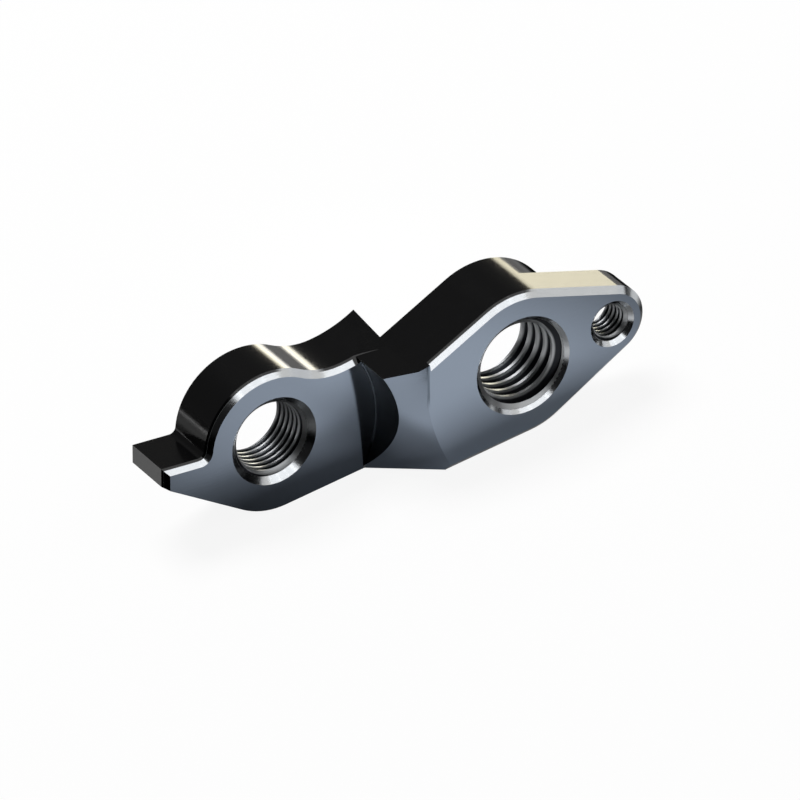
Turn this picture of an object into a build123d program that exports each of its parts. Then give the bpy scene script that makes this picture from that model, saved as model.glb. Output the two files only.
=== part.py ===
"""Derailleur hanger: one aluminium plate, machined from both sides into two offset levels.

X runs along the plate from the derailleur to the frame end, the outboard side faces -Y and Z is up.
The plate stands on its straight lower edge. The origin is the middle of the axle thread, on its axis.
"""

import os
from math import acos, asin, atan2, cos, degrees, hypot, radians, sin, sqrt, tan

from build123d import *

# Threads, as plain bores at the nominal diameter with a countersunk outboard mouth
axle_thread_diameter = 12.0
axle_mouth_diameter = 13.0
derailleur_thread_diameter = 10.0
derailleur_mouth_diameter = 11.6
fixing_thread_diameter = 5.0
fixing_mouth_diameter = 6.1

# Places of the threads along the plate
derailleur_spacing = 30.4
fixing_spacing = 12.7

# Outline
axle_lobe_radius = 9.75
derailleur_lobe_radius = 9.25
tongue_end_radius = 4.75
waist_height = 15.1
waist_corner_spacing = 13.6
hollow_radius = 9.0
neck_radius = 16.0
tab_reach = 15.1
tab_end_height = 2.4
tab_tilt = 10.0
tab_underside_slope = 38.5
tab_notch_radius = 0.9

# Depths, across the plate
axle_boss_depth = 10.2
tongue_depth = 5.5
derailleur_plate_depth = 7.9
derailleur_setback = 8.0

# Outboard clearance pocket about the derailleur thread
pocket_radius = 14.1

# Twisted relief between axle face and pocket: where it leaves the face and how steeply, at three heights
relief_low_spacing = 11.0
relief_low_slope = 45.5
relief_middle_spacing = 13.3
relief_middle_slope = 40.5
relief_middle_drop = 2.0
relief_high_spacing = 12.2
relief_high_slope = 19.0
relief_overrun = 1.2
relief_clearance = 0.3

# Wall left between the outboard pocket and the inboard step
neck_width = 2.9

# Edge breaks
outboard_chamfer = 0.8
inboard_chamfer = 0.2

# Centres in the plate's plane; both lobes stand on the same straight lower edge
axle = (0.0, 0.0)
derailleur = (-derailleur_spacing, derailleur_lobe_radius - axle_lobe_radius)
fixing = (fixing_spacing, 0.0)
ground = -axle_lobe_radius
waist_top = ground + waist_height
waist_corner = (-waist_corner_spacing, waist_top)

# Levels across the plate, with the axle thread's middle at zero
axle_face = -axle_boss_depth / 2
axle_back = axle_boss_depth / 2
boss_root = axle_face + tongue_depth / 2
derailleur_face = axle_face + derailleur_setback
derailleur_back = derailleur_face + derailleur_plate_depth

# Tangent directions, in degrees: tongue flanks, shoulder, hollow beside the derailleur lobe, tab underside
tongue_taper = degrees(asin((axle_lobe_radius - tongue_end_radius) / fixing_spacing))
tongue_tangent = 90 - tongue_taper
waist_corner_angle = atan2(waist_corner[1], waist_corner[0])
shoulder_tangent = degrees(waist_corner_angle - acos(axle_lobe_radius / hypot(*waist_corner)))
hollow_height = waist_top + hollow_radius - derailleur[1]
hollow_angle = degrees(asin(hollow_height / (derailleur_lobe_radius + hollow_radius)))
hollow_centre = (
    derailleur[0] + (derailleur_lobe_radius + hollow_radius) * cos(radians(hollow_angle)),
    waist_top + hollow_radius,
)
underside_tangent = -90 - tab_underside_slope

# The tab's end face stands square to its top edge, and its underside runs tangent to the lobe
tab_along = (-cos(radians(tab_tilt)), sin(radians(tab_tilt)))
tab_up = (sin(radians(tab_tilt)), cos(radians(tab_tilt)))
underside_turn = radians(tab_underside_slope - tab_tilt)
tab_bottom_rise = (tab_reach * sin(underside_turn) - derailleur_lobe_radius) / cos(underside_turn)
tab_top_rise = tab_bottom_rise + tab_end_height
notch_run = sqrt(derailleur_lobe_radius**2 - tab_top_rise**2)


def tab_point(run, rise):
    """Return a point by its run along the tab and its rise, both from the derailleur thread."""
    return (
        derailleur[0] + run * tab_along[0] + rise * tab_up[0],
        derailleur[1] + run * tab_along[1] + rise * tab_up[1],
    )


notch = tab_point(notch_run, tab_top_rise)
notch_angle = degrees(atan2(notch[1] - derailleur[1], notch[0] - derailleur[0]))

# The neck rises from the hollow's lowest point to the inboard step
rear_step = -(derailleur_spacing - pocket_radius - neck_width)
neck_turn = degrees(asin((rear_step - hollow_centre[0]) / neck_radius))
neck_top = waist_top + neck_radius * (1 - cos(radians(neck_turn)))

# Extents that clear the outboard level, for trimming it
clear_length = 2 * derailleur_spacing
clear_height = 4 * axle_lobe_radius

relief_sections = (
    (ground - relief_overrun, relief_low_spacing, relief_low_slope),
    (-relief_middle_drop, relief_middle_spacing, relief_middle_slope),
    (waist_top + relief_overrun, relief_high_spacing, relief_high_slope),
)

bores = (
    (axle, axle_thread_diameter, axle_mouth_diameter, axle_face),
    (derailleur, derailleur_thread_diameter, derailleur_mouth_diameter, derailleur_face),
    (fixing, fixing_thread_diameter, fixing_mouth_diameter, axle_face),
)

# Outline of the outboard level: tongue, axle lobe, shoulder and waist, cut off by the pocket's round wall
with BuildSketch(Plane.XZ) as axle_outline:
    with BuildLine():
        tongue_end = CenterArc(fixing, tongue_end_radius, -tongue_tangent, 2 * tongue_tangent)
        axle_top = CenterArc(axle, axle_lobe_radius, tongue_tangent, shoulder_tangent - tongue_tangent)
        axle_bottom = CenterArc(axle, axle_lobe_radius, -90, tongue_taper)
        Line(tongue_end @ 1, axle_top @ 0)
        Polyline(
            axle_top @ 1,
            waist_corner,
            (derailleur[0], waist_top),
            (derailleur[0], ground),
            axle_bottom @ 0,
        )
        Line(axle_bottom @ 1, tongue_end @ 0)
    make_face()
    with Locations(derailleur):
        Circle(pocket_radius, mode=Mode.SUBTRACT)

# Outline of the inboard level: derailleur lobe with its tab, hollow and neck, as far as the rear step
with BuildSketch(Plane.XZ) as derailleur_outline:
    with BuildLine():
        neck = CenterArc((hollow_centre[0], waist_top + neck_radius), neck_radius, 270, neck_turn)
        hollow = CenterArc(hollow_centre, hollow_radius, 270, hollow_angle - 90)
        derailleur_top = CenterArc(
            derailleur, derailleur_lobe_radius, hollow_angle, notch_angle - hollow_angle
        )
        derailleur_bottom = CenterArc(
            derailleur, derailleur_lobe_radius, underside_tangent, -90 - underside_tangent
        )
        Polyline(
            derailleur_top @ 1,
            tab_point(tab_reach, tab_top_rise),
            tab_point(tab_reach, tab_bottom_rise),
            derailleur_bottom @ 0,
        )
        Polyline(derailleur_bottom @ 1, (rear_step, ground), neck @ 1)
    make_face()
    fillet(derailleur_outline.vertices().sort_by_distance(notch)[0], tab_notch_radius)


with BuildPart() as relief:
    # Cutter that is lofted through the three heights
    for height, spacing, slope in relief_sections:
        run = derailleur_spacing - spacing
        with BuildSketch(Plane.XY.offset(height)):
            with BuildLine():
                Polyline(
                    (-spacing, axle_face - relief_clearance),
                    (-spacing, axle_face),
                    (-derailleur_spacing, axle_face + run * tan(radians(slope))),
                    (-derailleur_spacing, axle_face - relief_clearance),
                    close=True,
                )
            make_face()
    loft()


with BuildPart() as axle_plate:
    # Outboard half of the axle end, with the tongue, as far as the relief
    with BuildSketch(Plane.XZ.offset(-axle_face)):
        with Locations((-relief_high_spacing, 0)):
            Rectangle(clear_length, clear_height, align=(Align.MIN, Align.CENTER))
        add(axle_outline.sketch_local, mode=Mode.INTERSECT)
    extrude(amount=-tongue_depth)
    relief_end = axle_plate.faces().filter_by(Axis.X).edges()
    chamfer(axle_plate.faces().sort_by(Axis.Y)[0].edges() - relief_end, outboard_chamfer)
    chamfer(axle_plate.faces().sort_by(Axis.Y)[-1].edges() - relief_end, inboard_chamfer)


with BuildPart() as relief_block:
    # Outboard half between the axle face and the pocket's wall, its edges left sharp for the relief
    with BuildSketch(Plane.XZ.offset(-axle_face)):
        with Locations((-relief_high_spacing, 0)):
            Rectangle(clear_length, clear_height, align=(Align.MAX, Align.CENTER))
        add(axle_outline.sketch_local, mode=Mode.INTERSECT)
    extrude(amount=-tongue_depth)


with BuildPart() as axle_boss:
    # Inboard half of the axle end, with its lobe carried round as a boss beside the tongue
    with BuildSketch(Plane.XZ.offset(-boss_root)):
        Circle(axle_lobe_radius)
        Rectangle(clear_length, clear_height, align=(Align.MAX, Align.CENTER))
        add(axle_outline.sketch_local, mode=Mode.INTERSECT)
    extrude(amount=boss_root - axle_back)
    pocket_wall = axle_boss.faces().filter_by(GeomType.CYLINDER).sort_by(Axis.X)[0].edges()
    chamfer(axle_boss.faces().sort_by(Axis.Y)[-1].edges() - pocket_wall, inboard_chamfer)


with BuildPart() as derailleur_plate:
    # Derailleur end, set back from the axle face, as far as the rear step; its lower outboard edge is sharp
    with BuildSketch(Plane.XZ.offset(-derailleur_face)):
        add(derailleur_outline.sketch_local)
    extrude(amount=-derailleur_plate_depth)
    step_wall = derailleur_plate.faces().filter_by(Axis.X).edges()
    outboard_edges = derailleur_plate.faces().sort_by(Axis.Y)[0].edges() - step_wall
    upper_edges = outboard_edges.filter_by(lambda edge: edge.center().Z > derailleur[1])
    chamfer(upper_edges, outboard_chamfer)
    chamfer(derailleur_plate.faces().sort_by(Axis.Y)[-1].edges(), inboard_chamfer)

    # The neck's top falls towards the outboard side, where it runs out flush with the waist
    with BuildSketch(Plane.YZ.offset(hollow_centre[0])):
        with BuildLine():
            Polyline(
                (derailleur_face, waist_top),
                (derailleur_back, neck_top),
                (derailleur_back, waist_top + neck_radius),
                (derailleur_face, waist_top + neck_radius),
                close=True,
            )
        make_face()
    extrude(amount=rear_step - hollow_centre[0], mode=Mode.SUBTRACT)


with BuildPart() as hanger_body:
    add(axle_plate.part)
    add(relief_block.part)
    add(axle_boss.part)
    add(relief.part, mode=Mode.SUBTRACT)
    add(derailleur_plate.part)

    for centre, diameter, mouth, face in bores:
        with Locations(Plane.XZ.offset(-face)):
            with Locations(centre):
                CounterSinkHole(diameter / 2, mouth / 2, counter_sink_angle=90)

hanger_body.part.label = "hanger_body"

os.makedirs("parts", exist_ok=True)
export_step(hanger_body.part, "parts/hanger_body.step")
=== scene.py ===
"""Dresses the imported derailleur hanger: cut threads, finishes, a studio floor, light and the camera.

X runs along the plate to the frame end, the outboard side faces -Y and Z is up. The part's sizes are in
mm and MM turns them into the scene's metres. The floor, the lamps and their distances are in metres.
"""

import logging
import math
from dataclasses import dataclass
from enum import Enum

import bpy
from mathutils import Matrix, Vector


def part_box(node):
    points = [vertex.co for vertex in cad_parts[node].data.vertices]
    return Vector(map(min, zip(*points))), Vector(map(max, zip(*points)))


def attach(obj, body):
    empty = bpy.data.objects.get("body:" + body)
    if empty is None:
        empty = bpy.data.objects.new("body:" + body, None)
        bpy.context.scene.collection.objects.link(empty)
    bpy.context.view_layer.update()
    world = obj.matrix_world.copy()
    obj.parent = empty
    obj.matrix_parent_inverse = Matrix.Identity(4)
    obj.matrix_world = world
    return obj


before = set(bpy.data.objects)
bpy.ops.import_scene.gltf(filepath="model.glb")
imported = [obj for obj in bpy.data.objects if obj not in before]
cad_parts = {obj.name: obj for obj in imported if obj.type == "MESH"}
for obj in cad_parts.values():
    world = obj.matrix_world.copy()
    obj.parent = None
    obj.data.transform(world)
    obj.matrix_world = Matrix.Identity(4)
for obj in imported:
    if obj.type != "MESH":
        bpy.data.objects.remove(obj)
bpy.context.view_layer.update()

log = logging.getLogger("hanger_scene")

MM = 0.001
BODY = "root"
NODE = "hanger_body"

Pair = tuple[float, float]
Colour = tuple[float, float, float]
Point = tuple[float, float, float]

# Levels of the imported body's faces along Y, and its threads' axes along X and Z, in mm
AXLE_FACE = -5.1
AXLE_BACK = 5.1
TONGUE_BACK = 0.4
DERAILLEUR_FACE = 2.9
DERAILLEUR_BACK = 10.8
AXLE_CENTRE = (0.0, 0.0)
DERAILLEUR_CENTRE = (-30.4, -0.5)
FIXING_CENTRE = (12.7, 0.0)

# How a ridge is closed, turned and smoothed
MERGE_DISTANCE = 1e-7
QUARTER_TURN = math.radians(90.0)
SMOOTH_ANGLE = math.radians(25.0)

# Limits on a surface's direction, each with half the width of its blur
FLAT = (0.95, 0.02)
SLOPED = (0.40, 0.05)
UPRIGHT = (0.45, 0.05)
NOT_RIGHTWARD = (0.20, 0.05)
OUTWARD = (-0.40, 0.05)

# Tints of the lamps, and what the edge boxes share
WARM_TINT = (1.0, 0.98, 0.94)
SAND_TINT = (1.0, 0.93, 0.70)
WHITE = (1.0, 1.0, 1.0)
BLACK = (0.0, 0.0, 0.0)
EDGE_BOX = (0.30, 0.24)
EDGE_LIGHT = 1.8


class Step(Enum):
    """Sums that a mask is worked out with."""

    ADD = "ADD"
    TIMES = "MULTIPLY"
    MOST = "MAXIMUM"
    SIZE = "ABSOLUTE"


class MixKind(Enum):
    """What a mix works on: its type, the places of its mask, low and high inputs, and its output's."""

    NUMBER = ("FLOAT", (0, 2, 3), 0)
    COLOUR = ("RGBA", (0, 6, 7), 2)


class MouthSide(Enum):
    """Which way a countersink opens along a thread's axis."""

    OUTBOARD = -1
    INBOARD = 1


@dataclass(frozen=True)
class Finish:
    """How a metal surface looks.

    Attributes:
        colour: share of light that it sends back, for red, green and blue.
        roughness: how much it blurs what it mirrors.
        metallic: 1 for bare or tinted metal, 0 for a dyed black skin.
    """

    colour: Colour
    roughness: float
    metallic: float = 1.0


@dataclass(frozen=True)
class MarkStyle:
    """How strongly a surface shows the cutter's marks.

    Attributes:
        spread: how finely they repeat, per metre.
        amount: how much they change the roughness.
    """

    spread: float
    amount: float


WALL_BLACK = Finish(colour=(0.0018, 0.0018, 0.0020), roughness=0.12, metallic=0.0)
# Painted shade: the walls' black metal, made darker and duller on the pocket's wall so that it stays black
# in the recess
POCKET_PAINTED_SHADE = Finish(colour=(0.0045, 0.0048, 0.0055), roughness=0.42)
# Painted reflection: the walls' black anodised metal, made brighter and bluer on the faces and relief to
# stand in for the bright surroundings they mirror
FACE_PAINTED_REFLECTION = Finish(colour=(0.275, 0.325, 0.400), roughness=0.09)
CUT_BRIGHT = Finish(colour=(0.50, 0.52, 0.54), roughness=0.17)
# Thread crests: lighter metal as a painted highlight for the glints along them; the countersunk ends are
# cut bright metal
THREAD_GLINT_AND_CUT = Finish(colour=(0.46, 0.475, 0.49), roughness=0.36)
THREAD_ROOT = Finish(colour=(0.030, 0.032, 0.037), roughness=0.36)
# Painted shade: a darker copy of the faces' metal along the relief's upper crease
CREASE_PAINTED_SHADE = Finish(colour=(0.14, 0.17, 0.21), roughness=0.20)
BLACK_GLOSS = 0.37

# The cutter's marks: their depth is in mm, and the lines are clouds that are turned and stretched
BODY_MARKS = MarkStyle(spread=700.0, amount=0.05)
THREAD_MARKS = MarkStyle(spread=1500.0, amount=0.12)
MARK_DEPTH = 0.004
MARK_TURN = math.radians(18.0)
MARK_STRETCH = (1.0, 6.0, 14.0)
CLOUD_DETAIL = 4.0
LINE_DETAIL = 2.0
LINE_SHARE = 0.5
NOISE_MIDDLE = 0.5


class NodeSheet:
    """A node tree with short calls that add and join its nodes."""

    def __init__(self, tree: bpy.types.NodeTree) -> None:
        """Keeps the tree that the calls add to."""
        self.tree = tree

    def add(self, kind: str, **settings: object) -> bpy.types.Node:
        """Adds a node.

        Args:
            kind: the node's type name.
            settings: properties to set on it.

        Returns:
            The new node.
        """
        node = self.tree.nodes.new(kind)
        for name, value in settings.items():
            setattr(node, name, value)
        return node

    def feed(self, socket: bpy.types.NodeSocket, value: object) -> None:
        """Joins an output to an input, or sets the input to a plain value.

        Args:
            socket: the input.
            value: an output socket, a number or a colour.
        """
        if isinstance(value, bpy.types.NodeSocket):
            self.tree.links.new(value, socket)
        else:
            socket.default_value = value

    def split(self, vector: bpy.types.NodeSocket) -> bpy.types.Node:
        """Adds a node that splits a vector into its X, Y and Z outputs, and returns it."""
        node = self.add("ShaderNodeSeparateXYZ")
        self.feed(node.inputs["Vector"], vector)
        return node

    def sum(self, step: Step, first: object, second: object = 0.0) -> bpy.types.NodeSocket:
        """Works out one sum of two values.

        Args:
            step: which sum.
            first: an output socket or a number.
            second: an output socket or a number.

        Returns:
            The result's socket.
        """
        node = self.add("ShaderNodeMath", operation=step.value)
        self.feed(node.inputs[0], first)
        self.feed(node.inputs[1], second)
        return node.outputs["Value"]

    def both(self, first: object, *others: object) -> bpy.types.NodeSocket:
        """Makes a mask that is 1 where every given mask is 1.

        Args:
            first: a mask's socket.
            others: the other masks' sockets or numbers.

        Returns:
            The mask's socket.
        """
        joined = first
        for other in others:
            joined = self.sum(Step.TIMES, joined, other)
        return joined

    def either(self, first: object, *others: object) -> bpy.types.NodeSocket:
        """Makes a mask that is 1 where any given mask is 1.

        Args:
            first: a mask's socket.
            others: the other masks' sockets or numbers.

        Returns:
            The mask's socket.
        """
        joined = first
        for other in others:
            joined = self.sum(Step.MOST, joined, other)
        return joined

    def over(self, value: object, level: float, blur: float) -> bpy.types.NodeSocket:
        """Makes a mask that is 1 where a value is over a level.

        Args:
            value: the socket that is measured.
            level: the middle of the change.
            blur: half the width of the change.

        Returns:
            The mask's socket.
        """
        node = self.add("ShaderNodeMapRange", interpolation_type="SMOOTHSTEP")
        self.feed(node.inputs["Value"], value)
        self.feed(node.inputs["From Min"], level - blur)
        self.feed(node.inputs["From Max"], level + blur)
        return node.outputs["Result"]

    def under(self, value: object, level: float, blur: float) -> bpy.types.NodeSocket:
        """Makes a mask that is 1 where a value is under a level.

        Args:
            value: the socket that is measured.
            level: the middle of the change.
            blur: half the width of the change.

        Returns:
            The mask's socket.
        """
        return self.inverse(self.over(value, level, blur))

    def beyond(self, length: object, level: float, blur: float) -> bpy.types.NodeSocket:
        """Returns a mask that is 1 where a length is over a level, with level and blur in mm."""
        return self.over(length, level * MM, blur * MM)

    def within(self, length: object, level: float, blur: float) -> bpy.types.NodeSocket:
        """Returns a mask that is 1 where a length is under a level, with level and blur in mm."""
        return self.under(length, level * MM, blur * MM)

    def inverse(self, mask: bpy.types.NodeSocket) -> bpy.types.NodeSocket:
        """Returns a mask that is 1 where the given one is 0."""
        node = self.add("ShaderNodeMath", operation="SUBTRACT")
        self.feed(node.inputs[0], 1.0)
        self.feed(node.inputs[1], mask)
        return node.outputs["Value"]

    def mix(self, kind: MixKind, mask: object, low: object, high: object) -> bpy.types.NodeSocket:
        """Mixes two values.

        Args:
            kind: what the values are.
            mask: 0 for the low value and 1 for the high one.
            low: an output socket or a plain value.
            high: an output socket or a plain value.

        Returns:
            The mixed value's socket.
        """
        data_type, places, result = kind.value
        node = self.add("ShaderNodeMix", data_type=data_type)
        for place, value in zip(places, (mask, low, high)):
            self.feed(node.inputs[place], (*value, 1.0) if isinstance(value, tuple) else value)
        return node.outputs[result]

    def blend(self, mask: object, low: object, high: object) -> bpy.types.NodeSocket:
        """Mixes two colours, from the low one where the mask is 0 to the high one where it is 1."""
        return self.mix(MixKind.COLOUR, mask, low, high)

    def level(self, mask: object, low: object, high: object) -> bpy.types.NodeSocket:
        """Mixes two numbers, from the low one where the mask is 0 to the high one where it is 1."""
        return self.mix(MixKind.NUMBER, mask, low, high)

    def marks(
        self, group: bpy.types.NodeTree, style: MarkStyle, spot: bpy.types.NodeSocket
    ) -> bpy.types.Node:
        """Places the cutter's marks in a material.

        Args:
            group: the node group of cutter's marks.
            style: how strongly they show.
            spot: the socket of the point's place.

        Returns:
            The group's node, with the outputs Tone and Height.
        """
        node = self.add("ShaderNodeGroup", node_tree=group)
        self.feed(node.inputs["Place"], spot)
        self.feed(node.inputs["Spread"], style.spread)
        self.feed(node.inputs["Amount"], style.amount)
        return node


def cutter_marks() -> bpy.types.NodeTree:
    """Makes the node group of the fine marks that a cutter leaves on metal.

    Returns:
        The group, with the inputs Place, Spread and Amount and the outputs Tone and Height.
    """
    group = bpy.data.node_groups.new("cutter_marks", "ShaderNodeTree")
    for name, kind, side in (
        ("Place", "NodeSocketVector", "INPUT"),
        ("Spread", "NodeSocketFloat", "INPUT"),
        ("Amount", "NodeSocketFloat", "INPUT"),
        ("Tone", "NodeSocketFloat", "OUTPUT"),
        ("Height", "NodeSocketFloat", "OUTPUT"),
    ):
        group.interface.new_socket(name=name, in_out=side, socket_type=kind)
    sheet = NodeSheet(group)
    given = sheet.add("NodeGroupInput")
    made = sheet.add("NodeGroupOutput")
    clouds = sheet.add("ShaderNodeTexNoise", noise_dimensions="3D")
    sheet.feed(clouds.inputs["Vector"], given.outputs["Place"])
    sheet.feed(clouds.inputs["Scale"], given.outputs["Spread"])
    sheet.feed(clouds.inputs["Detail"], CLOUD_DETAIL)
    stretch = sheet.add("ShaderNodeMapping")
    sheet.feed(stretch.inputs["Vector"], given.outputs["Place"])
    sheet.feed(stretch.inputs["Rotation"], (0.0, MARK_TURN, 0.0))
    sheet.feed(stretch.inputs["Scale"], MARK_STRETCH)
    lines = sheet.add("ShaderNodeTexNoise", noise_dimensions="3D")
    sheet.feed(lines.inputs["Vector"], stretch.outputs["Vector"])
    sheet.feed(lines.inputs["Scale"], given.outputs["Spread"])
    sheet.feed(lines.inputs["Detail"], LINE_DETAIL)
    mixed = sheet.level(LINE_SHARE, clouds.outputs["Fac"], lines.outputs["Fac"])
    centred = sheet.sum(Step.ADD, mixed, -NOISE_MIDDLE)
    sheet.feed(made.inputs["Tone"], sheet.sum(Step.TIMES, centred, given.outputs["Amount"]))
    sheet.feed(made.inputs["Height"], lines.outputs["Fac"])
    return group


def new_material(name: str) -> tuple[bpy.types.Material, NodeSheet, bpy.types.Node]:
    """Makes a material with a plain Principled shader.

    Args:
        name: the material's name.

    Returns:
        The material, its node sheet and its shader node.
    """
    material = bpy.data.materials.new(name)
    material.use_nodes = True
    sheet = NodeSheet(material.node_tree)
    return material, sheet, material.node_tree.nodes["Principled BSDF"]


def axis_distance(sheet: NodeSheet, spot: bpy.types.NodeSocket, centre: Pair) -> bpy.types.NodeSocket:
    """Measures the distance from an axis along Y.

    Args:
        sheet: the sheet to add to.
        spot: the socket of the point's place.
        centre: the axis's place along X and Z, in mm.

    Returns:
        The distance's socket, in metres.
    """
    shift = sheet.add("ShaderNodeVectorMath", operation="SUBTRACT")
    sheet.feed(shift.inputs[0], spot)
    sheet.feed(shift.inputs[1], (centre[0] * MM, 0.0, centre[1] * MM))
    flatten = sheet.add("ShaderNodeVectorMath", operation="MULTIPLY")
    sheet.feed(flatten.inputs[0], shift.outputs["Vector"])
    sheet.feed(flatten.inputs[1], (1.0, 0.0, 1.0))
    length = sheet.add("ShaderNodeVectorMath", operation="LENGTH")
    sheet.feed(length.inputs[0], flatten.outputs["Vector"])
    return length.outputs["Value"]


@dataclass
class CutThread:
    """One cut thread, as a helical ridge that stands on its bore's wall.

    Attributes:
        name: the piece's name.
        centre: the axis's place along X and Z, in mm.
        radius: nominal radius, in mm.
        pitch: distance between turns, in mm.
        outboard: level of the outboard face, in mm.
        inboard: level of the inboard face, in mm.
        mouth: radius of the outboard countersink, in mm.
        lead_in: radius of the inboard countersink, in mm.
        steps: straight pieces in one turn.
        spare_turns: turns past the faces, which are trimmed off.
        bite: how deep the ridge's foot is sunk in the bore's wall, in mm.
        ridge_share: the ridge's height, as a share of the pitch.
        crest_share: the crest's width, as a share of the pitch.
        root_share: the root's width, as a share of the pitch.
        glint_share: how far down from its crest the ridge carries the painted highlight, as a share of its
            height.
        glint_blur: half the share over which that fades.
        end_band: distance from a countersunk end at which its bright band fades, in mm.
        end_blur: half the distance over which that band fades, in mm.
    """

    name: str
    centre: Pair
    radius: float
    pitch: float
    outboard: float
    inboard: float
    mouth: float
    lead_in: float
    steps: int = 72
    spare_turns: int = 2
    bite: float = 0.06
    ridge_share: float = 0.5413
    crest_share: float = 0.25
    root_share: float = 0.125
    glint_share: float = 0.26
    glint_blur: float = 0.14
    end_band: float = 0.05
    end_blur: float = 0.02

    @property
    def crest_radius(self) -> float:
        """Radius at the ridge's top, in mm."""
        return self.radius - self.ridge_share * self.pitch

    @property
    def turns(self) -> int:
        """Whole turns that reach past both faces."""
        return math.ceil((self.inboard - self.outboard) / self.pitch) + self.spare_turns

    def opening(self, side: MouthSide) -> Pair:
        """Finds where a countersink opens.

        Args:
            side: the face that it opens to.

        Returns:
            The face's level and the countersink's radius there, in mm.
        """
        if side is MouthSide.OUTBOARD:
            return self.outboard, self.mouth
        return self.inboard, self.lead_in

    def profile(self) -> bpy.types.Object:
        """Models the ridge's section beside the thread's axis, with its foot sunk in the wall.

        Returns:
            The section, which lies a pitch below the outboard face along Z.
        """
        depth = self.radius + self.bite - self.crest_radius
        foot = self.pitch * (1.0 - self.root_share)
        middle = (self.crest_radius + depth / 2) * MM
        start = (self.outboard - self.pitch) * MM
        bpy.ops.object.select_all(action="DESELECT")
        bpy.ops.mesh.primitive_plane_add(
            size=1.0, location=(middle, 0.0, start), rotation=(QUARTER_TURN, 0.0, 0.0)
        )
        ridge = bpy.context.object
        ridge.name = self.name
        ridge.scale = (depth * MM, foot * MM, 1.0)
        bpy.ops.object.transform_apply(location=True, rotation=True, scale=True)
        bpy.ops.object.mode_set(mode="EDIT")
        bpy.ops.mesh.delete(type="ONLY_FACE")
        bpy.ops.mesh.select_all(action="DESELECT")
        bpy.ops.object.mode_set(mode="OBJECT")
        for vertex in ridge.data.vertices:
            vertex.select = vertex.co.x < middle
        bpy.ops.object.mode_set(mode="EDIT")
        bpy.ops.transform.resize(
            value=(1.0, 1.0, self.crest_share / (1.0 - self.root_share)),
            center_override=(self.crest_radius * MM, 0.0, start),
        )
        bpy.ops.object.mode_set(mode="OBJECT")
        return ridge

    def sweep(self, ridge: bpy.types.Object) -> None:
        """Carries the section round the axis as a right-hand helix and closes its ends.

        Args:
            ridge: the section, which becomes the ridge.
        """
        screw = ridge.modifiers.new("helix", "SCREW")
        screw.axis = "Z"
        screw.angle = math.tau
        screw.screw_offset = self.pitch * MM
        screw.iterations = self.turns
        screw.steps = self.steps
        screw.render_steps = self.steps
        bpy.ops.object.modifier_apply(modifier=screw.name)
        bpy.ops.object.mode_set(mode="EDIT")
        bpy.ops.mesh.select_all(action="SELECT")
        bpy.ops.mesh.remove_doubles(threshold=MERGE_DISTANCE)
        bpy.ops.mesh.select_all(action="SELECT")
        bpy.ops.mesh.fill_holes(sides=0)
        bpy.ops.mesh.select_all(action="SELECT")
        bpy.ops.mesh.normals_make_consistent(inside=False)
        bpy.ops.object.mode_set(mode="OBJECT")

    def trim(self) -> None:
        """Cuts the ridge, which is the active object and lies along Z, off level with both faces."""
        bpy.ops.object.mode_set(mode="EDIT")
        for side in MouthSide:
            face, _ = self.opening(side)
            bpy.ops.mesh.select_all(action="SELECT")
            bpy.ops.mesh.bisect(
                plane_co=(0.0, 0.0, face * MM),
                plane_no=(0.0, 0.0, side.value),
                use_fill=True,
                clear_outer=True,
            )
        bpy.ops.object.mode_set(mode="OBJECT")

    def countersink(self, ridge: bpy.types.Object, side: MouthSide) -> None:
        """Cuts the ridge back to a cone at one face.

        Args:
            ridge: the ridge, along Z.
            side: the face that the cone opens to.
        """
        face, mouth = self.opening(side)
        outside = mouth + self.pitch
        wide, narrow = (outside, 0.0) if side is MouthSide.OUTBOARD else (0.0, outside)
        bpy.ops.object.select_all(action="DESELECT")
        bpy.ops.mesh.primitive_cone_add(
            vertices=self.steps,
            radius1=wide * MM,
            radius2=narrow * MM,
            depth=outside * MM,
            location=(0.0, 0.0, (face + side.value * self.pitch - side.value * outside / 2) * MM),
        )
        cone = bpy.context.object
        bpy.ops.object.transform_apply(location=True, rotation=True, scale=True)
        bpy.ops.object.select_all(action="DESELECT")
        ridge.select_set(True)
        bpy.context.view_layer.objects.active = ridge
        cut = ridge.modifiers.new("countersink", "BOOLEAN")
        cut.operation = "DIFFERENCE"
        cut.object = cone
        bpy.ops.object.modifier_apply(modifier=cut.name)
        bpy.data.objects.remove(cone)

    def place(self, ridge: bpy.types.Object) -> None:
        """Turns the ridge's axis from Z to Y, sets it in its bore and smooths its flanks.

        Args:
            ridge: the ridge, along Z.
        """
        ridge.rotation_euler = (-QUARTER_TURN, 0.0, 0.0)
        ridge.location = (self.centre[0] * MM, 0.0, self.centre[1] * MM)
        bpy.ops.object.transform_apply(location=True, rotation=True, scale=True)
        bpy.ops.object.shade_smooth_by_angle(angle=SMOOTH_ANGLE)

    def build(self) -> bpy.types.Object:
        """Models the whole thread.

        Returns:
            The thread's piece, in its bore.
        """
        ridge = self.profile()
        self.sweep(ridge)
        self.trim()
        for side in MouthSide:
            self.countersink(ridge, side)
        self.place(ridge)
        return ridge

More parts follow.
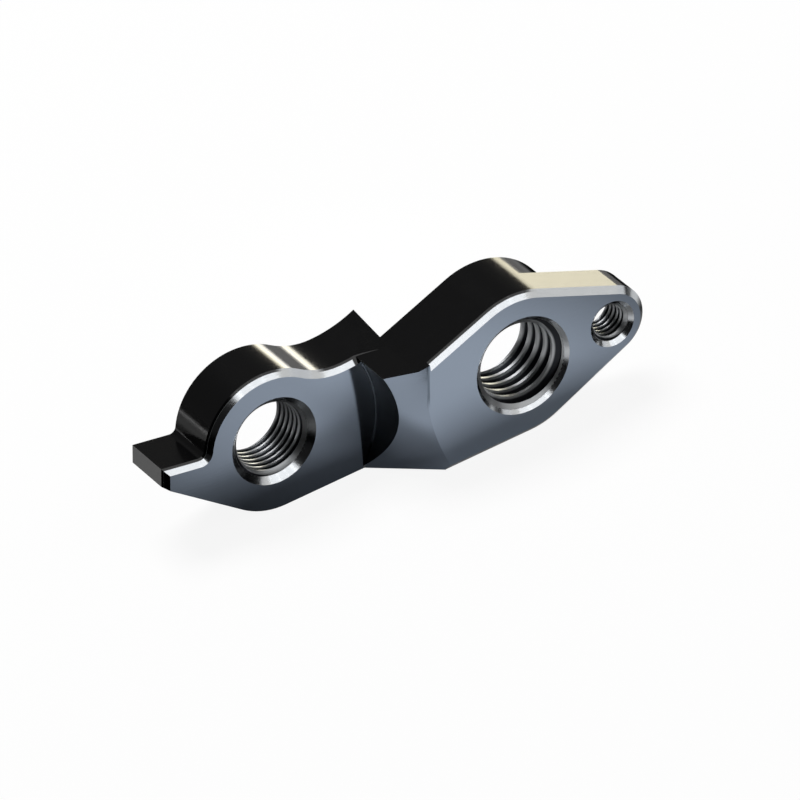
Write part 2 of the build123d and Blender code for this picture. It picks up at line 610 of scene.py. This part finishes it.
    def glint_and_end_mask(self, sheet: NodeSheet, spot: bpy.types.NodeSocket) -> bpy.types.NodeSocket:
        """Works out where the ridge is bright: a painted highlight along its crest, and cut bright metal
        along its countersunk ends.

        Args:
            sheet: the sheet to add to.
            spot: the socket of the point's place.

        Returns:
            The mask's socket.
        """
        reach = axis_distance(sheet, spot, self.centre)
        rise = self.radius - self.crest_radius
        bright = sheet.within(reach, self.crest_radius + self.glint_share * rise, self.glint_blur * rise)
        across = sheet.split(spot).outputs["Y"]
        for side in MouthSide:
            face, mouth = self.opening(side)
            inwards = sheet.sum(Step.TIMES, across, -side.value)
            cone = sheet.sum(Step.ADD, inwards, (side.value * face - mouth) * MM)
            off_cone = sheet.sum(Step.SIZE, sheet.sum(Step.ADD, cone, reach))
            bright = sheet.either(bright, sheet.within(off_cone, self.end_band, self.end_blur))
        return bright

    def dress(self, ridge: bpy.types.Object, marks: bpy.types.NodeTree) -> None:
        """Gives the ridge crests with a painted highlight, cut bright ends, and dark flanks and roots.

        Args:
            ridge: the thread's piece.
            marks: the node group of cutter's marks.
        """
        material, sheet, shader = new_material(self.name + "_metal")
        spot = sheet.add("ShaderNodeTexCoord").outputs["Object"]
        bright = self.glint_and_end_mask(sheet, spot)
        colour = sheet.blend(bright, THREAD_ROOT.colour, THREAD_GLINT_AND_CUT.colour)
        rough = sheet.level(bright, THREAD_ROOT.roughness, THREAD_GLINT_AND_CUT.roughness)
        tone = sheet.marks(marks, THREAD_MARKS, spot)
        sheet.feed(shader.inputs["Base Color"], colour)
        sheet.feed(shader.inputs["Roughness"], sheet.sum(Step.ADD, rough, tone.outputs["Tone"]))
        sheet.feed(shader.inputs["Metallic"], THREAD_GLINT_AND_CUT.metallic)
        ridge.data.materials.clear()
        ridge.data.materials.append(material)


@dataclass(frozen=True)
class BodyPoint:
    """Sockets that tell where a point of the body lies and which way its surface faces.

    Attributes:
        place: the node that splits its place into X, Y and Z.
        facing: the node that splits its direction into X, Y and Z.
        reaches: its distance from each thread's axis, in metres.
        pocket_reach: its distance from the pocket's axis, in metres.
        sloped: mask of the surfaces that face outboard or inboard, or slope that way.
        forward: mask of what lies in front of the derailleur end's face.
        past_axle: mask of what lies beyond the axle face, towards the derailleur end.
    """

    place: bpy.types.Node
    facing: bpy.types.Node
    reaches: tuple[bpy.types.NodeSocket, ...]
    pocket_reach: bpy.types.NodeSocket
    sloped: bpy.types.NodeSocket
    forward: bpy.types.NodeSocket
    past_axle: bpy.types.NodeSocket


@dataclass
class HangerBody:
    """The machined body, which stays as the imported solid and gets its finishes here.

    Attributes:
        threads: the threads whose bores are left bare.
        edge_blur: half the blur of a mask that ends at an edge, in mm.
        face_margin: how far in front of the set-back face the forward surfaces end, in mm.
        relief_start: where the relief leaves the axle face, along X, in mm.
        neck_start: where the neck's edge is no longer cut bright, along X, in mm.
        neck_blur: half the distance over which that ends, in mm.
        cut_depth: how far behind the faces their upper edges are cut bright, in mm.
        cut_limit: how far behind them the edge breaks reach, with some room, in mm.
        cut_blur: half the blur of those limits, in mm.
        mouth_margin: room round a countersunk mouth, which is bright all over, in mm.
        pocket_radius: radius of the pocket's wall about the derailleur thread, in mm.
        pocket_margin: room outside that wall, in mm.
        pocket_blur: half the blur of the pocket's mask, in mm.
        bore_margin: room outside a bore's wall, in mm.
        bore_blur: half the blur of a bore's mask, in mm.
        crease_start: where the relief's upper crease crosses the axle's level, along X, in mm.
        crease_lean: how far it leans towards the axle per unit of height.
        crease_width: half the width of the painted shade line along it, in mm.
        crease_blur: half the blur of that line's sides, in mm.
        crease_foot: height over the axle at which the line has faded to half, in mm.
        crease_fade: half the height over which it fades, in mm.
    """

    threads: tuple[CutThread, ...]
    edge_blur: float = 0.01
    face_margin: float = 0.2
    relief_start: float = -10.9
    neck_start: float = -18.1
    neck_blur: float = 0.1
    cut_depth: float = 0.57
    cut_limit: float = 0.9
    cut_blur: float = 0.03
    mouth_margin: float = 0.1
    pocket_radius: float = 14.1
    pocket_margin: float = 0.05
    pocket_blur: float = 0.02
    bore_margin: float = 0.012
    bore_blur: float = 0.008
    crease_start: float = -13.36
    crease_lean: float = 0.155
    crease_width: float = 0.18
    crease_blur: float = 0.08
    crease_foot: float = 0.8
    crease_fade: float = 1.0

    def read(self, sheet: NodeSheet, coords: bpy.types.Node) -> BodyPoint:
        """Reads what the masks are worked out from.

        Args:
            sheet: the sheet to add to.
            coords: the coordinates' node.

        Returns:
            The point's sockets.
        """
        spot = coords.outputs["Object"]
        place = sheet.split(spot)
        facing = sheet.split(coords.outputs["Normal"])
        return BodyPoint(
            place=place,
            facing=facing,
            reaches=tuple(axis_distance(sheet, spot, thread.centre) for thread in self.threads),
            pocket_reach=axis_distance(sheet, spot, DERAILLEUR_CENTRE),
            sloped=sheet.over(sheet.sum(Step.SIZE, facing.outputs["Y"]), *SLOPED),
            forward=sheet.within(place.outputs["Y"], DERAILLEUR_FACE - self.face_margin, self.edge_blur),
            past_axle=sheet.within(place.outputs["X"], self.relief_start, self.edge_blur),
        )

    def face_mask(self, sheet: NodeSheet, at: BodyPoint) -> bpy.types.NodeSocket:
        """Makes the mask of the flat faces and the relief, which carry the painted reflection.

        Args:
            sheet: the sheet to add to.
            at: the point's sockets.

        Returns:
            The mask's socket.
        """
        flat = sheet.over(sheet.sum(Step.SIZE, at.facing.outputs["Y"]), *FLAT)
        upright = sheet.under(sheet.sum(Step.SIZE, at.facing.outputs["Z"]), *UPRIGHT)
        return sheet.either(flat, sheet.both(at.past_axle, at.forward, at.sloped, upright))

    def strip_mask(self, sheet: NodeSheet, at: BodyPoint) -> bpy.types.NodeSocket:
        """Makes the mask of the upper edge breaks' inner strip, which is black like the walls.

        Args:
            sheet: the sheet to add to.
            at: the point's sockets.

        Returns:
            The mask's socket.
        """
        across = at.place.outputs["Y"]
        strips = [
            sheet.both(
                sheet.beyond(across, face + self.cut_depth, self.cut_blur),
                sheet.within(across, face + self.cut_limit, self.cut_blur),
            )
            for face in (AXLE_FACE, DERAILLEUR_FACE)
        ]
        clear = [
            sheet.beyond(reach, thread.mouth + self.mouth_margin, self.cut_blur)
            for thread, reach in zip(self.threads, at.reaches)
        ]
        upper = sheet.under(at.facing.outputs["X"], *NOT_RIGHTWARD)
        outward = sheet.under(at.facing.outputs["Y"], *OUTWARD)
        return sheet.both(upper, outward, sheet.either(*strips), *clear)

    def cut_mask(
        self, sheet: NodeSheet, at: BodyPoint, face: bpy.types.NodeSocket
    ) -> bpy.types.NodeSocket:
        """Makes the mask of the edges and mouths that are cut bright.

        Args:
            sheet: the sheet to add to.
            at: the point's sockets.
            face: the mask of the faces.

        Returns:
            The mask's socket.
        """
        past_neck = sheet.beyond(at.place.outputs["X"], self.neck_start, self.neck_blur)
        neck = sheet.both(past_neck, sheet.inverse(at.forward), at.past_axle)
        edge = sheet.both(at.sloped, sheet.inverse(sheet.either(face, neck)))
        return sheet.both(edge, sheet.inverse(self.strip_mask(sheet, at)))

    def pocket_shade_mask(self, sheet: NodeSheet, at: BodyPoint) -> bpy.types.NodeSocket:
        """Makes the mask of the pocket's round wall, which gets a darker, duller copy of the wall black as
        painted shade.

        Args:
            sheet: the sheet to add to.
            at: the point's sockets.

        Returns:
            The mask's socket.
        """
        near = sheet.within(at.pocket_reach, self.pocket_radius + self.pocket_margin, self.pocket_blur)
        return sheet.both(near, at.forward, sheet.inverse(at.sloped))

    def bore_mask(self, sheet: NodeSheet, at: BodyPoint) -> bpy.types.NodeSocket:
        """Makes the mask of the bores' walls.

        Args:
            sheet: the sheet to add to.
            at: the point's sockets.

        Returns:
            The mask's socket.
        """
        inside = [
            sheet.within(reach, thread.radius + self.bore_margin, self.bore_blur)
            for thread, reach in zip(self.threads, at.reaches)
        ]
        return sheet.either(*inside)

    def crease_shade_mask(
        self, sheet: NodeSheet, at: BodyPoint, face: bpy.types.NodeSocket
    ) -> bpy.types.NodeSocket:
        """Makes the mask of the painted shade line along the relief's upper crease.

        Args:
            sheet: the sheet to add to.
            at: the point's sockets.
            face: the mask of the faces.

        Returns:
            The mask's socket.
        """
        lean = sheet.sum(Step.TIMES, at.place.outputs["Z"], -self.crease_lean)
        along = sheet.sum(Step.ADD, at.place.outputs["X"], -self.crease_start * MM)
        off_crease = sheet.sum(Step.SIZE, sheet.sum(Step.ADD, along, lean))
        line = sheet.within(off_crease, self.crease_width, self.crease_blur)
        upper = sheet.beyond(at.place.outputs["Z"], self.crease_foot, self.crease_fade)
        return sheet.both(line, upper, at.forward, face)

    def layers(
        self, sheet: NodeSheet, coords: bpy.types.Node
    ) -> tuple[tuple[bpy.types.NodeSocket, Finish], ...]:
        """Works out where each finish goes over the black walls.

        Args:
            sheet: the sheet to add to.
            coords: the coordinates' node.

        Returns:
            Each finish with its mask, in the order that they are laid on.
        """
        at = self.read(sheet, coords)
        face = self.face_mask(sheet, at)
        return (
            # Painted shade on the pocket's wall
            (self.pocket_shade_mask(sheet, at), POCKET_PAINTED_SHADE),
            # Painted reflection on the faces and relief
            (face, FACE_PAINTED_REFLECTION),
            (self.cut_mask(sheet, at, face), CUT_BRIGHT),
            (self.bore_mask(sheet, at), THREAD_ROOT),
            # Painted shade along the relief's upper crease
            (self.crease_shade_mask(sheet, at, face), CREASE_PAINTED_SHADE),
        )

    def dress(self, node: bpy.types.Object, marks: bpy.types.NodeTree) -> None:
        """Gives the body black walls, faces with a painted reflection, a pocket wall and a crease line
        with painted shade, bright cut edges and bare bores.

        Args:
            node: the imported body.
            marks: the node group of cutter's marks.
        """
        material, sheet, shader = new_material("hanger_metal")
        coords = sheet.add("ShaderNodeTexCoord")
        colour = WALL_BLACK.colour
        rough = WALL_BLACK.roughness
        metal = WALL_BLACK.metallic
        for mask, finish in self.layers(sheet, coords):
            colour = sheet.blend(mask, colour, finish.colour)
            rough = sheet.level(mask, rough, finish.roughness)
            metal = sheet.level(mask, metal, finish.metallic)
        tone = sheet.marks(marks, BODY_MARKS, coords.outputs["Object"])
        bump = sheet.add("ShaderNodeBump")
        sheet.feed(bump.inputs["Strength"], 1.0)
        sheet.feed(bump.inputs["Distance"], MARK_DEPTH * MM)
        sheet.feed(bump.inputs["Height"], tone.outputs["Height"])
        sheet.feed(shader.inputs["Base Color"], colour)
        sheet.feed(shader.inputs["Roughness"], sheet.sum(Step.ADD, rough, tone.outputs["Tone"]))
        sheet.feed(shader.inputs["Metallic"], metal)
        sheet.feed(shader.inputs["Specular IOR Level"], BLACK_GLOSS)
        sheet.feed(shader.inputs["Normal"], bump.outputs["Normal"])
        node.data.materials.clear()
        node.data.materials.append(material)


@dataclass(frozen=True)
class Lamp:
    """A soft box that faces the part.

    Attributes:
        name: the lamp's name.
        towards: direction from the part to the lamp.
        size: its width and height, in metres.
        brightness: light that each part of it sends out; 1 renders as white.
        colour: its tint.
        distance: how far off it stands, in metres.
        aim: the point that it faces and that its distance is measured from, in mm.
    """

    name: str
    towards: Point
    size: Pair
    brightness: float
    colour: Colour = WHITE
    distance: float = 1.0
    aim: Point = (0.0, 0.0, 0.0)

    def place(self) -> bpy.types.Object:
        """Adds the lamp.

        Returns:
            The lamp's object.
        """
        bpy.ops.object.light_add(type="AREA")
        lamp = bpy.context.object
        lamp.name = self.name
        lamp.data.shape = "RECTANGLE"
        lamp.data.size = self.size[0]
        lamp.data.size_y = self.size[1]
        lamp.data.energy = math.pi * self.size[0] * self.size[1] * self.brightness
        lamp.data.color = self.colour
        way = Vector(self.towards).normalized()
        lamp.location = Vector(self.aim) * MM + way * self.distance
        lamp.rotation_euler = way.to_track_quat("Z", "Y").to_euler()
        return lamp


@dataclass(frozen=True)
class PaintedLightPool:
    """A round pool of painted light on the floor, with a soft edge.

    Attributes:
        centre: its middle along X and Y, in mm.
        reach: distance at which it has faded to half, in mm.
        fade: half the distance over which it fades, in mm.
    """

    centre: Pair
    reach: float
    fade: float

    def mask(self, sheet: NodeSheet, spot: bpy.types.NodeSocket) -> bpy.types.NodeSocket:
        """Makes the pool's mask.

        Args:
            sheet: the floor's sheet to add to.
            spot: the socket of the point's place.

        Returns:
            The mask's socket, 1 in the spot.
        """
        flatten = sheet.add("ShaderNodeVectorMath", operation="MULTIPLY")
        sheet.feed(flatten.inputs[0], spot)
        sheet.feed(flatten.inputs[1], (1.0, 1.0, 0.0))
        away = sheet.add("ShaderNodeVectorMath", operation="DISTANCE")
        sheet.feed(away.inputs[0], flatten.outputs["Vector"])
        sheet.feed(away.inputs[1], (self.centre[0] * MM, self.centre[1] * MM, 0.0))
        return sheet.within(away.outputs["Value"], self.reach, self.fade)


@dataclass
class Studio:
    """The floor, white where seen and with pools of painted light and shade where metal mirrors it, the
    lamps and the surroundings.

    A border on the floor is its place, with half the distance over which the tone changes there, in mm.

    Attributes:
        floor_level: height of the floor, in metres.
        floor_radius: radius of the floor's flat part, in metres.
        rim_points: corners round the floor's rim.
        rim_rise: height of the floor's raised rim, in metres.
        rim_flare: how much wider the rim is at its top.
        floor_colour: the pale colour.
        floor_roughness: how matt the floor is.
        front_light_pool: the pool of painted light in front of the part.
        tab_light_pool: the pool of painted light that the tab's end mirrors.
        back_light_pool: the pool of painted light behind the part, which the inboard faces mirror.
        behind_start: border along Y from which the floor has painted light again behind the part.
        behind_share: share of the pale colour there.
        left_end: border along X up to which the floor is dimmer in front of the derailleur end, a painted
            shade.
        left_front: border along Y in front of which it is paler again there.
        left_share: share of the pale colour behind and in front of that border.
        right_start: border along X from which the floor has painted light again beside the frame end.
        right_end: border along Y up to which it is pale there.
        seen_lift: share of plain white in the floor as the camera sees it.
        mirrored_lift: share of plain white in the floor as metal mirrors it.
        dim_front: brightness of the surroundings in front of the part.
        dim_back: brightness of the surroundings behind it.
        dim_border: direction along Y between those, with half the width of the change.
        lamps: the soft boxes and cards.
    """

    floor_level: float
    floor_radius: float = 3.0
    rim_points: int = 96
    rim_rise: float = 0.4
    rim_flare: float = 1.1
    floor_colour: Colour = (0.90, 0.90, 0.90)
    floor_roughness: float = 0.9
    # Painted pools of light on the floor, and dimmer patches of painted shade, which metal mirrors
    front_light_pool: PaintedLightPool = PaintedLightPool(centre=(-8.0, -18.0), reach=30.0, fade=18.0)
    tab_light_pool: PaintedLightPool = PaintedLightPool(centre=(-61.0, 27.0), reach=13.0, fade=5.0)
    back_light_pool: PaintedLightPool = PaintedLightPool(centre=(-15.0, 52.0), reach=26.0, fade=8.0)
    behind_start: Pair = (55.0, 16.0)
    behind_share: float = 0.46
    left_end: Pair = (-14.0, 3.0)
    left_front: Pair = (-7.8, 2.6)
    left_share: Pair = (0.55, 0.86)
    right_start: Pair = (42.0, 14.0)
    right_end: Pair = (20.0, 6.0)
    seen_lift: float = 0.90
    mirrored_lift: float = 0.09
    dim_front: float = 0.012
    dim_back: float = 0.10
    dim_border: Pair = (0.2, 0.5)
    lamps: tuple[Lamp, ...] = (
        Lamp("key_box", (-0.03, 0.42, 0.907), (0.54, 0.46), 12.4),
        Lamp("edge_box_right", (0.888, -0.295, 0.348), EDGE_BOX, 1.0),
        Lamp("edge_box_high_right", (0.726, -0.413, 0.550), EDGE_BOX, 1.05, WARM_TINT),
        Lamp("edge_box_top", (0.499, -0.513, 0.699), EDGE_BOX, EDGE_LIGHT),
        Lamp("edge_box_middle", (0.227, -0.589, 0.775), EDGE_BOX, EDGE_LIGHT),
        Lamp("edge_box_high_left", (-0.062, -0.640, 0.765), EDGE_BOX, EDGE_LIGHT),
        Lamp("edge_box_left", (-0.252, -0.661, 0.707), (0.13, 0.24), EDGE_LIGHT),
        Lamp("low_card_foot", (0.660, 0.750, 0.038), (0.50, 0.078), 0.8),
        Lamp("low_card", (0.650, 0.745, 0.148), (0.50, 0.14), 5.7, SAND_TINT),
        Lamp("left_card", (-0.664, 0.747, 0.008), (0.40, 0.03), 2.4),
        Lamp(
            "near_card",
            (0.661, 0.746, 0.090),
            (0.016, 0.0085),
            3.6,
            WARM_TINT,
            distance=0.06,
            aim=(-27.0, 6.5, 8.5),
        ),
    )

    def floor(self) -> bpy.types.Object:
        """Models the floor, a wide disc whose rim slopes up.

        Returns:
            The floor's object.
        """
        bpy.ops.object.select_all(action="DESELECT")
        bpy.ops.mesh.primitive_circle_add(
            vertices=self.rim_points,
            radius=self.floor_radius,
            fill_type="NGON",
            location=(0.0, 0.0, self.floor_level),
        )
        floor = bpy.context.object
        floor.name = "floor"
        bpy.ops.object.transform_apply(location=True, rotation=True, scale=True)
        bpy.ops.object.mode_set(mode="EDIT")
        bpy.ops.mesh.select_all(action="SELECT")
        bpy.ops.mesh.region_to_loop()
        bpy.ops.mesh.extrude_edges_move(TRANSFORM_OT_translate={"value": (0.0, 0.0, self.rim_rise)})
        bpy.ops.transform.resize(
            value=(self.rim_flare, self.rim_flare, 1.0), center_override=(0.0, 0.0, self.floor_level)
        )
        bpy.ops.object.mode_set(mode="OBJECT")
        return floor

    def painted_light_mask(self, sheet: NodeSheet, spot: bpy.types.NodeSocket) -> bpy.types.NodeSocket:
        """Works out the painted light and shade on the floor that the part mirrors: pale pools and dimmer
        patches, black elsewhere.

        Args:
            sheet: the floor's sheet to add to.
            spot: the socket of the point's place.

        Returns:
            The mask's socket.
        """
        place = sheet.split(spot)
        along, across = place.outputs["X"], place.outputs["Y"]
        behind = sheet.both(sheet.beyond(across, *self.behind_start), self.behind_share)
        beside = sheet.both(sheet.beyond(along, *self.right_start), sheet.within(across, *self.right_end))
        left = sheet.level(sheet.within(across, *self.left_front), *self.left_share)
        share = sheet.level(sheet.beyond(along, *self.left_end), left, 1.0)
        front = sheet.both(self.front_light_pool.mask(sheet, spot), share)
        tab, back = self.tab_light_pool.mask(sheet, spot), self.back_light_pool.mask(sheet, spot)
        return sheet.either(front, tab, back, behind, beside)

    def dress_floor(self, floor: bpy.types.Object) -> None:
        """Gives the floor painted pools of light and shade on black, which metal mirrors, lifted to white
        where it is seen.

        Args:
            floor: the floor's object.
        """
        material, sheet, shader = new_material("floor_white")
        painted_light = self.painted_light_mask(sheet, sheet.add("ShaderNodeTexCoord").outputs["Object"])
        path = sheet.add("ShaderNodeLightPath")
        pale = sheet.either(painted_light, path.outputs["Is Camera Ray"])
        sheet.feed(shader.inputs["Base Color"], sheet.blend(pale, BLACK, self.floor_colour))
        sheet.feed(shader.inputs["Roughness"], self.floor_roughness)
        sheet.feed(shader.inputs["Specular IOR Level"], 0.0)
        seen = sheet.sum(Step.TIMES, path.outputs["Is Camera Ray"], self.seen_lift)
        through = sheet.sum(Step.TIMES, path.outputs["Is Transmission Ray"], self.seen_lift)
        mirrored = sheet.sum(Step.TIMES, path.outputs["Is Glossy Ray"], self.mirrored_lift)
        lift = sheet.either(seen, through, sheet.both(mirrored, painted_light))
        white = sheet.add("ShaderNodeEmission")
        mix = sheet.add("ShaderNodeMixShader")
        sheet.feed(mix.inputs[0], lift)
        sheet.feed(mix.inputs[1], shader.outputs["BSDF"])
        sheet.feed(mix.inputs[2], white.outputs["Emission"])
        sheet.feed(material.node_tree.nodes["Material Output"].inputs["Surface"], mix.outputs["Shader"])
        floor.data.materials.append(material)

    def surround(self) -> None:
        """Sets the dim surroundings that the part mirrors, darker in front than behind."""
        world = bpy.data.worlds.new("studio")
        bpy.context.scene.world = world
        world.use_nodes = True
        sheet = NodeSheet(world.node_tree)
        way = sheet.split(sheet.add("ShaderNodeTexCoord").outputs["Generated"])
        behind = sheet.over(way.outputs["Y"], *self.dim_border)
        background = world.node_tree.nodes["Background"]
        sheet.feed(background.inputs["Color"], (*WHITE, 1.0))
        sheet.feed(background.inputs["Strength"], sheet.level(behind, self.dim_front, self.dim_back))

    def build(self) -> None:
        """Builds the floor, the lamps and the surroundings."""
        self.dress_floor(self.floor())
        for lamp in self.lamps:
            lamp.place()
        self.surround()


@dataclass(frozen=True)
class PhotoCamera:
    """The camera at the photograph's viewing angle.

    Attributes:
        target: the point that its distance is measured from, in mm.
        right: direction of the picture's right side.
        back: direction from the target to the camera.
        distance: from the target to the camera, in mm.
        aim: how far the target lies right of and above the picture's middle, per unit of distance.
        lens: focal length, in mm.
        sensor: width of the sensor, in mm.
        clip: nearest and farthest distance that it shows, in metres.
    """

    target: Point = (0.0, AXLE_FACE, 0.0)
    right: Point = (0.8433, -0.519, -0.1411)
    back: Point = (-0.3669, -0.7471, 0.5543)
    distance: float = 1370.0
    aim: Pair = (0.01078, 0.00301)
    lens: float = 514.85
    sensor: float = 36.0
    clip: Pair = (0.05, 20.0)

    def place(self) -> bpy.types.Object:
        """Adds the camera and makes it the scene's.

        Returns:
            The camera's object.
        """
        back = Vector(self.back).normalized()
        up = back.cross(Vector(self.right)).normalized()
        right = up.cross(back)
        axis = (back + right * self.aim[0] + up * self.aim[1]).normalized()
        up = axis.cross(right).normalized()
        right = up.cross(axis)
        turn = Matrix((right, up, axis)).transposed()
        bpy.ops.object.camera_add()
        camera = bpy.context.object
        camera.name = "photo_camera"
        camera.data.lens = self.lens
        camera.data.sensor_width = self.sensor
        camera.data.clip_start, camera.data.clip_end = self.clip
        camera.location = Vector(self.target) * MM + back * self.distance * MM
        camera.rotation_euler = turn.to_euler()
        bpy.context.scene.camera = camera
        return camera


def threads() -> tuple[CutThread, ...]:
    """Lists the three threads.

    Returns:
        The axle, derailleur and fixing threads.
    """
    axle = CutThread(
        name="axle_thread",
        centre=AXLE_CENTRE,
        radius=6.0,
        pitch=1.75,
        outboard=AXLE_FACE,
        inboard=AXLE_BACK,
        mouth=6.5,
        lead_in=6.2,
    )
    derailleur = CutThread(
        name="derailleur_thread",
        centre=DERAILLEUR_CENTRE,
        radius=5.0,
        pitch=1.0,
        outboard=DERAILLEUR_FACE,
        inboard=DERAILLEUR_BACK,
        mouth=5.8,
        lead_in=5.2,
    )
    fixing = CutThread(
        name="fixing_thread",
        centre=FIXING_CENTRE,
        radius=2.5,
        pitch=0.8,
        outboard=AXLE_FACE,
        inboard=TONGUE_BACK,
        mouth=3.05,
        lead_in=2.6,
    )
    return axle, derailleur, fixing


def main() -> None:
    """Builds the pieces in order and reports each."""
    logging.basicConfig(level=logging.INFO, format="%(name)s: %(message)s")
    marks = cutter_marks()
    cut = threads()
    for thread in cut:
        piece = thread.build()
        thread.dress(piece, marks)
        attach(piece, BODY)
        log.info("%s: %d faces", piece.name, len(piece.data.polygons))
    HangerBody(cut).dress(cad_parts[NODE], marks)
    log.info("%s: finishes on the packed body", NODE)
    studio = Studio(floor_level=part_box(NODE)[0].z)
    studio.build()
    PhotoCamera().place()
    bpy.context.scene.view_settings.view_transform = "Standard"
    log.info("floor, %d lamps and the camera", len(studio.lamps))


if __name__ == "__main__":
    main()
